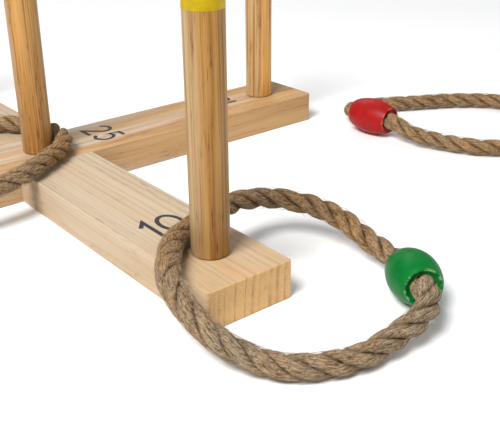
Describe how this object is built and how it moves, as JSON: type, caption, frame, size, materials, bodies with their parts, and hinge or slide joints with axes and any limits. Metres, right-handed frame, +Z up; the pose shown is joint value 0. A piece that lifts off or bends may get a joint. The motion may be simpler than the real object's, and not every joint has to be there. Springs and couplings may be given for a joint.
{
  "type": "ring toss set",
  "caption": "Wooden cross base with upright screw-in pegs and throwing rings of twisted rope closed by painted wooden beads.",
  "frame": {"origin": "on the ground under the middle of the cross, where the two boards cross", "axes": "+Z up along the pegs, +X along the upper board, +Y along the lower board away from its front peg"},
  "size_m": [0.6597, 0.5804, 0.1943],
  "materials": {
    "lower_board_pine": "planed and lightly oiled, straight grain",
    "upper_board_pine": "planed and oiled, cathedral grain on the sides",
    "peg_wood": "turned dowel, oiled, fine dark streaks",
    "zinc_plated_steel": "zinc plated thread",
    "insert_brass": "machined",
    "jute_rope": "three-strand twisted jute, hairy",
    "bead_paint_green": "satin paint, rubbed at the rims",
    "bead_paint_red": "satin paint, rubbed at the rims",
    "bead_paint_blue": "satin paint, rubbed at the rims",
    "peg_paint_yellow": "satin paint",
    "peg_paint_orange": "satin paint",
    "peg_paint_blue": "satin paint",
    "peg_paint_red": "satin paint",
    "peg_paint_green": "satin paint",
    "number_ink": "matt screen-printed ink"
  },
  "bodies": {
    "lower_frame": {"lower_board": "lower_board_pine", "insert_front": "insert_brass", "insert_back": "insert_brass", "insert_centre": "insert_brass"},
    "upper_frame": {"upper_board": "upper_board_pine", "insert_left": "insert_brass", "insert_right": "insert_brass"},
    "peg_front_unit": {"peg_front": "peg_wood", "stud_front": "zinc_plated_steel"},
    "peg_back_unit": {"peg_back": "peg_wood", "stud_back": "zinc_plated_steel"},
    "peg_left_unit": {"peg_left": "peg_wood", "stud_left": "zinc_plated_steel"},
    "peg_right_unit": {"peg_right": "peg_wood", "stud_right": "zinc_plated_steel"},
    "peg_centre_unit": {"peg_centre": "peg_wood", "stud_centre": "zinc_plated_steel"},
    "ring_green": {"rope_green": "jute_rope", "bead_green": "bead_paint_green"},
    "ring_red": {"rope_red": "jute_rope", "bead_red": "bead_paint_red"},
    "ring_blue": {"rope_blue": "jute_rope", "bead_blue": "bead_paint_blue"}
  },
  "joints": [
    {"name": "cross_lift", "type": "slide", "parent": "lower_frame", "child": "upper_frame", "axis": [0, 0, 1], "range_m": [0, 0.2]},
    {"name": "peg_front_unscrew", "type": "slide", "parent": "lower_frame", "child": "peg_front_unit", "axis": [0, 0, 1], "range_m": [0, 0.05]},
    {"name": "peg_back_unscrew", "type": "slide", "parent": "lower_frame", "child": "peg_back_unit", "axis": [0, 0, 1], "range_m": [0, 0.05]},
    {"name": "peg_left_unscrew", "type": "slide", "parent": "upper_frame", "child": "peg_left_unit", "axis": [0, 0, 1], "range_m": [0, 0.05]},
    {"name": "peg_right_unscrew", "type": "slide", "parent": "upper_frame", "child": "peg_right_unit", "axis": [0, 0, 1], "range_m": [0, 0.05]},
    {"name": "peg_centre_unscrew", "type": "slide", "parent": "upper_frame", "child": "peg_centre_unit", "axis": [0, 0, 1], "range_m": [0, 0.05]},
    {"name": "ring_green_lift", "type": "slide", "parent": "lower_frame", "child": "ring_green", "axis": [0, 0, 1], "range_m": [0, 0.2]},
    {"name": "ring_red_lift", "type": "slide", "parent": "lower_frame", "child": "ring_red", "axis": [0, 0, 1], "range_m": [0, 0.2]},
    {"name": "ring_blue_lift", "type": "slide", "parent": "upper_frame", "child": "ring_blue", "axis": [0, 0, 1], "range_m": [0, 0.2]}
  ]
}
